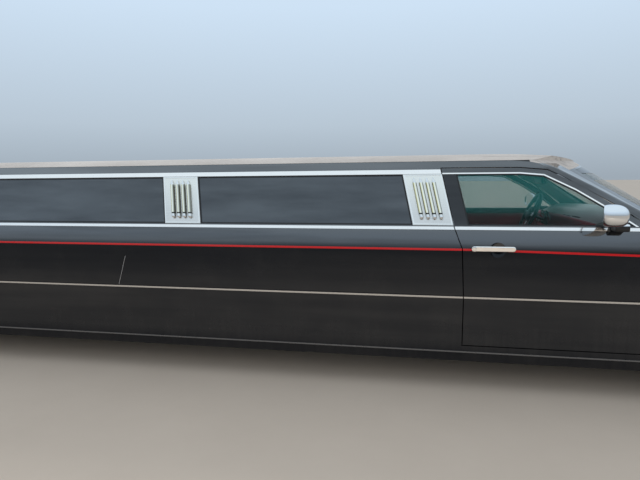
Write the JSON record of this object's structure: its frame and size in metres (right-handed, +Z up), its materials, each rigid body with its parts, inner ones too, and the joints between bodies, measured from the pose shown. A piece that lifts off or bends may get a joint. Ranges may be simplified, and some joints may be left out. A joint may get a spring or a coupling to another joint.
{
  "type": "stretched full-size sedan",
  "caption": "Black stretched full-size sedan with opening doors, hood and boot lid, steered front wheels, dark side windows and bright opera panels.",
  "frame": {"origin": "on the ground under the centre of the car's bounding box", "axes": "+X towards the front, +Y towards the car's left side, +Z up"},
  "size_m": [8.6, 2.3, 1.5],
  "materials": {
    "chassis": "satin",
    "body_paint": "gloss",
    "roof_paint": "matt, faded",
    "bright_trim": "polished",
    "lamp_clear": "clear",
    "lamp_red": "clear",
    "clear_glass": "clear",
    "dark_glass": "tinted",
    "black_plastic": "grained",
    "seat_leather": "soft",
    "tyre": "matt",
    "rim_metal": "polished"
  },
  "bodies": {
    "car_body": {"floor_pan": "chassis", "rear_floor": "chassis", "wheel_houses": "chassis", "sills": "body_paint", "front_fenders": "body_paint", "side_panels": "body_paint", "rear_quarters": "body_paint", "roof": "roof_paint", "roof_rails": "body_paint", "front_bumper": "body_paint", "grille": "bright_trim", "headlamps": "lamp_clear", "tail_lamps": "lamp_red", "rear_bumper": "body_paint", "windshield": "clear_glass", "rear_window": "clear_glass", "side_windows": "dark_glass", "opera_panels": "bright_trim", "bright_bands": "bright_trim", "cowl": "black_plastic", "dashboard": "black_plastic", "front_seats": "seat_leather", "divider": "black_plastic", "rear_seats": "seat_leather", "engine": "chassis", "exhaust": "bright_trim", "fuel_tank": "chassis", "driveshaft": "chassis", "front_subframe": "chassis", "rear_axle": "chassis"},
    "steering_wheel": {"steering_wheel": "black_plastic"},
    "hood": {"hood": "body_paint"},
    "trunk_lid": {"trunk_lid": "body_paint"},
    "door_front_left": {"door_front_left": "body_paint", "door_glass_front_left": "clear_glass", "door_trim_front_left": "bright_trim", "mirror_left": "body_paint"},
    "door_front_right": {"door_front_right": "body_paint", "door_glass_front_right": "clear_glass", "door_trim_front_right": "bright_trim", "mirror_right": "body_paint"},
    "door_rear_left": {"door_rear_left": "body_paint", "door_glass_rear_left": "dark_glass", "door_trim_rear_left": "bright_trim"},
    "door_rear_right": {"door_rear_right": "body_paint", "door_glass_rear_right": "dark_glass", "door_trim_rear_right": "bright_trim"},
    "knuckle_left": {"knuckle_left": "chassis"},
    "wheel_front_left": {"tyre_front_left": "tyre", "rim_front_left": "rim_metal"},
    "wheel_rear_left": {"tyre_rear_left": "tyre", "rim_rear_left": "rim_metal"},
    "knuckle_right": {"knuckle_right": "chassis"},
    "wheel_front_right": {"tyre_front_right": "tyre", "rim_front_right": "rim_metal"},
    "wheel_rear_right": {"tyre_rear_right": "tyre", "rim_rear_right": "rim_metal"}
  },
  "joints": [
    {"name": "door_front_left_hinge", "type": "hinge", "parent": "car_body", "child": "door_front_left", "pos_m": [2.862, 0.955, 0.6], "axis": [0, 0, -1], "range_deg": [0, 68]},
    {"name": "door_front_right_hinge", "type": "hinge", "parent": "car_body", "child": "door_front_right", "pos_m": [2.862, -0.955, 0.6], "axis": [0, 0, 1], "range_deg": [0, 68]},
    {"name": "door_rear_left_hinge", "type": "hinge", "parent": "car_body", "child": "door_rear_left", "pos_m": [-1.755, 0.955, 0.6], "axis": [0, 0, -1], "range_deg": [0, 68]},
    {"name": "door_rear_right_hinge", "type": "hinge", "parent": "car_body", "child": "door_rear_right", "pos_m": [-1.755, -0.955, 0.6], "axis": [0, 0, 1], "range_deg": [0, 68]},
    {"name": "hood_hinge", "type": "hinge", "parent": "car_body", "child": "hood", "pos_m": [3.062, 0, 1.04], "axis": [0, -1, 0], "range_deg": [0, 50]},
    {"name": "trunk_lid_hinge", "type": "hinge", "parent": "car_body", "child": "trunk_lid", "pos_m": [-3.475, 0, 1.055], "axis": [0, 1, 0], "range_deg": [0, 75]},
    {"name": "steering_wheel_turn", "type": "hinge", "parent": "car_body", "child": "steering_wheel", "pos_m": [2.42, 0.37, 1.03], "axis": [-0.9063, 0, 0.4226], "range_deg": [-480, 480]},
    {"name": "knuckle_left_steer", "type": "hinge", "parent": "car_body", "child": "knuckle_left", "pos_m": [3.422, 0.776, 0.358], "axis": [0, 0, 1], "range_deg": [-36, 36]},
    {"name": "wheel_front_left_spin", "type": "hinge", "parent": "knuckle_left", "child": "wheel_front_left", "pos_m": [3.422, 0.806, 0.358], "axis": [0, 1, 0], "continuous": true},
    {"name": "wheel_rear_left_spin", "type": "hinge", "parent": "car_body", "child": "wheel_rear_left", "pos_m": [-3.186, 0.806, 0.358], "axis": [0, 1, 0], "continuous": true},
    {"name": "knuckle_right_steer", "type": "hinge", "parent": "car_body", "child": "knuckle_right", "pos_m": [3.422, -0.776, 0.358], "axis": [0, 0, 1], "range_deg": [-36, 36]},
    {"name": "wheel_front_right_spin", "type": "hinge", "parent": "knuckle_right", "child": "wheel_front_right", "pos_m": [3.422, -0.806, 0.358], "axis": [0, 1, 0], "continuous": true},
    {"name": "wheel_rear_right_spin", "type": "hinge", "parent": "car_body", "child": "wheel_rear_right", "pos_m": [-3.186, -0.806, 0.358], "axis": [0, 1, 0], "continuous": true}
  ],
  "couplings": [
    {"joint": "knuckle_left_steer", "follows": "steering_wheel_turn", "ratio": 0.075},
    {"joint": "knuckle_right_steer", "follows": "steering_wheel_turn", "ratio": 0.075}
  ]
}
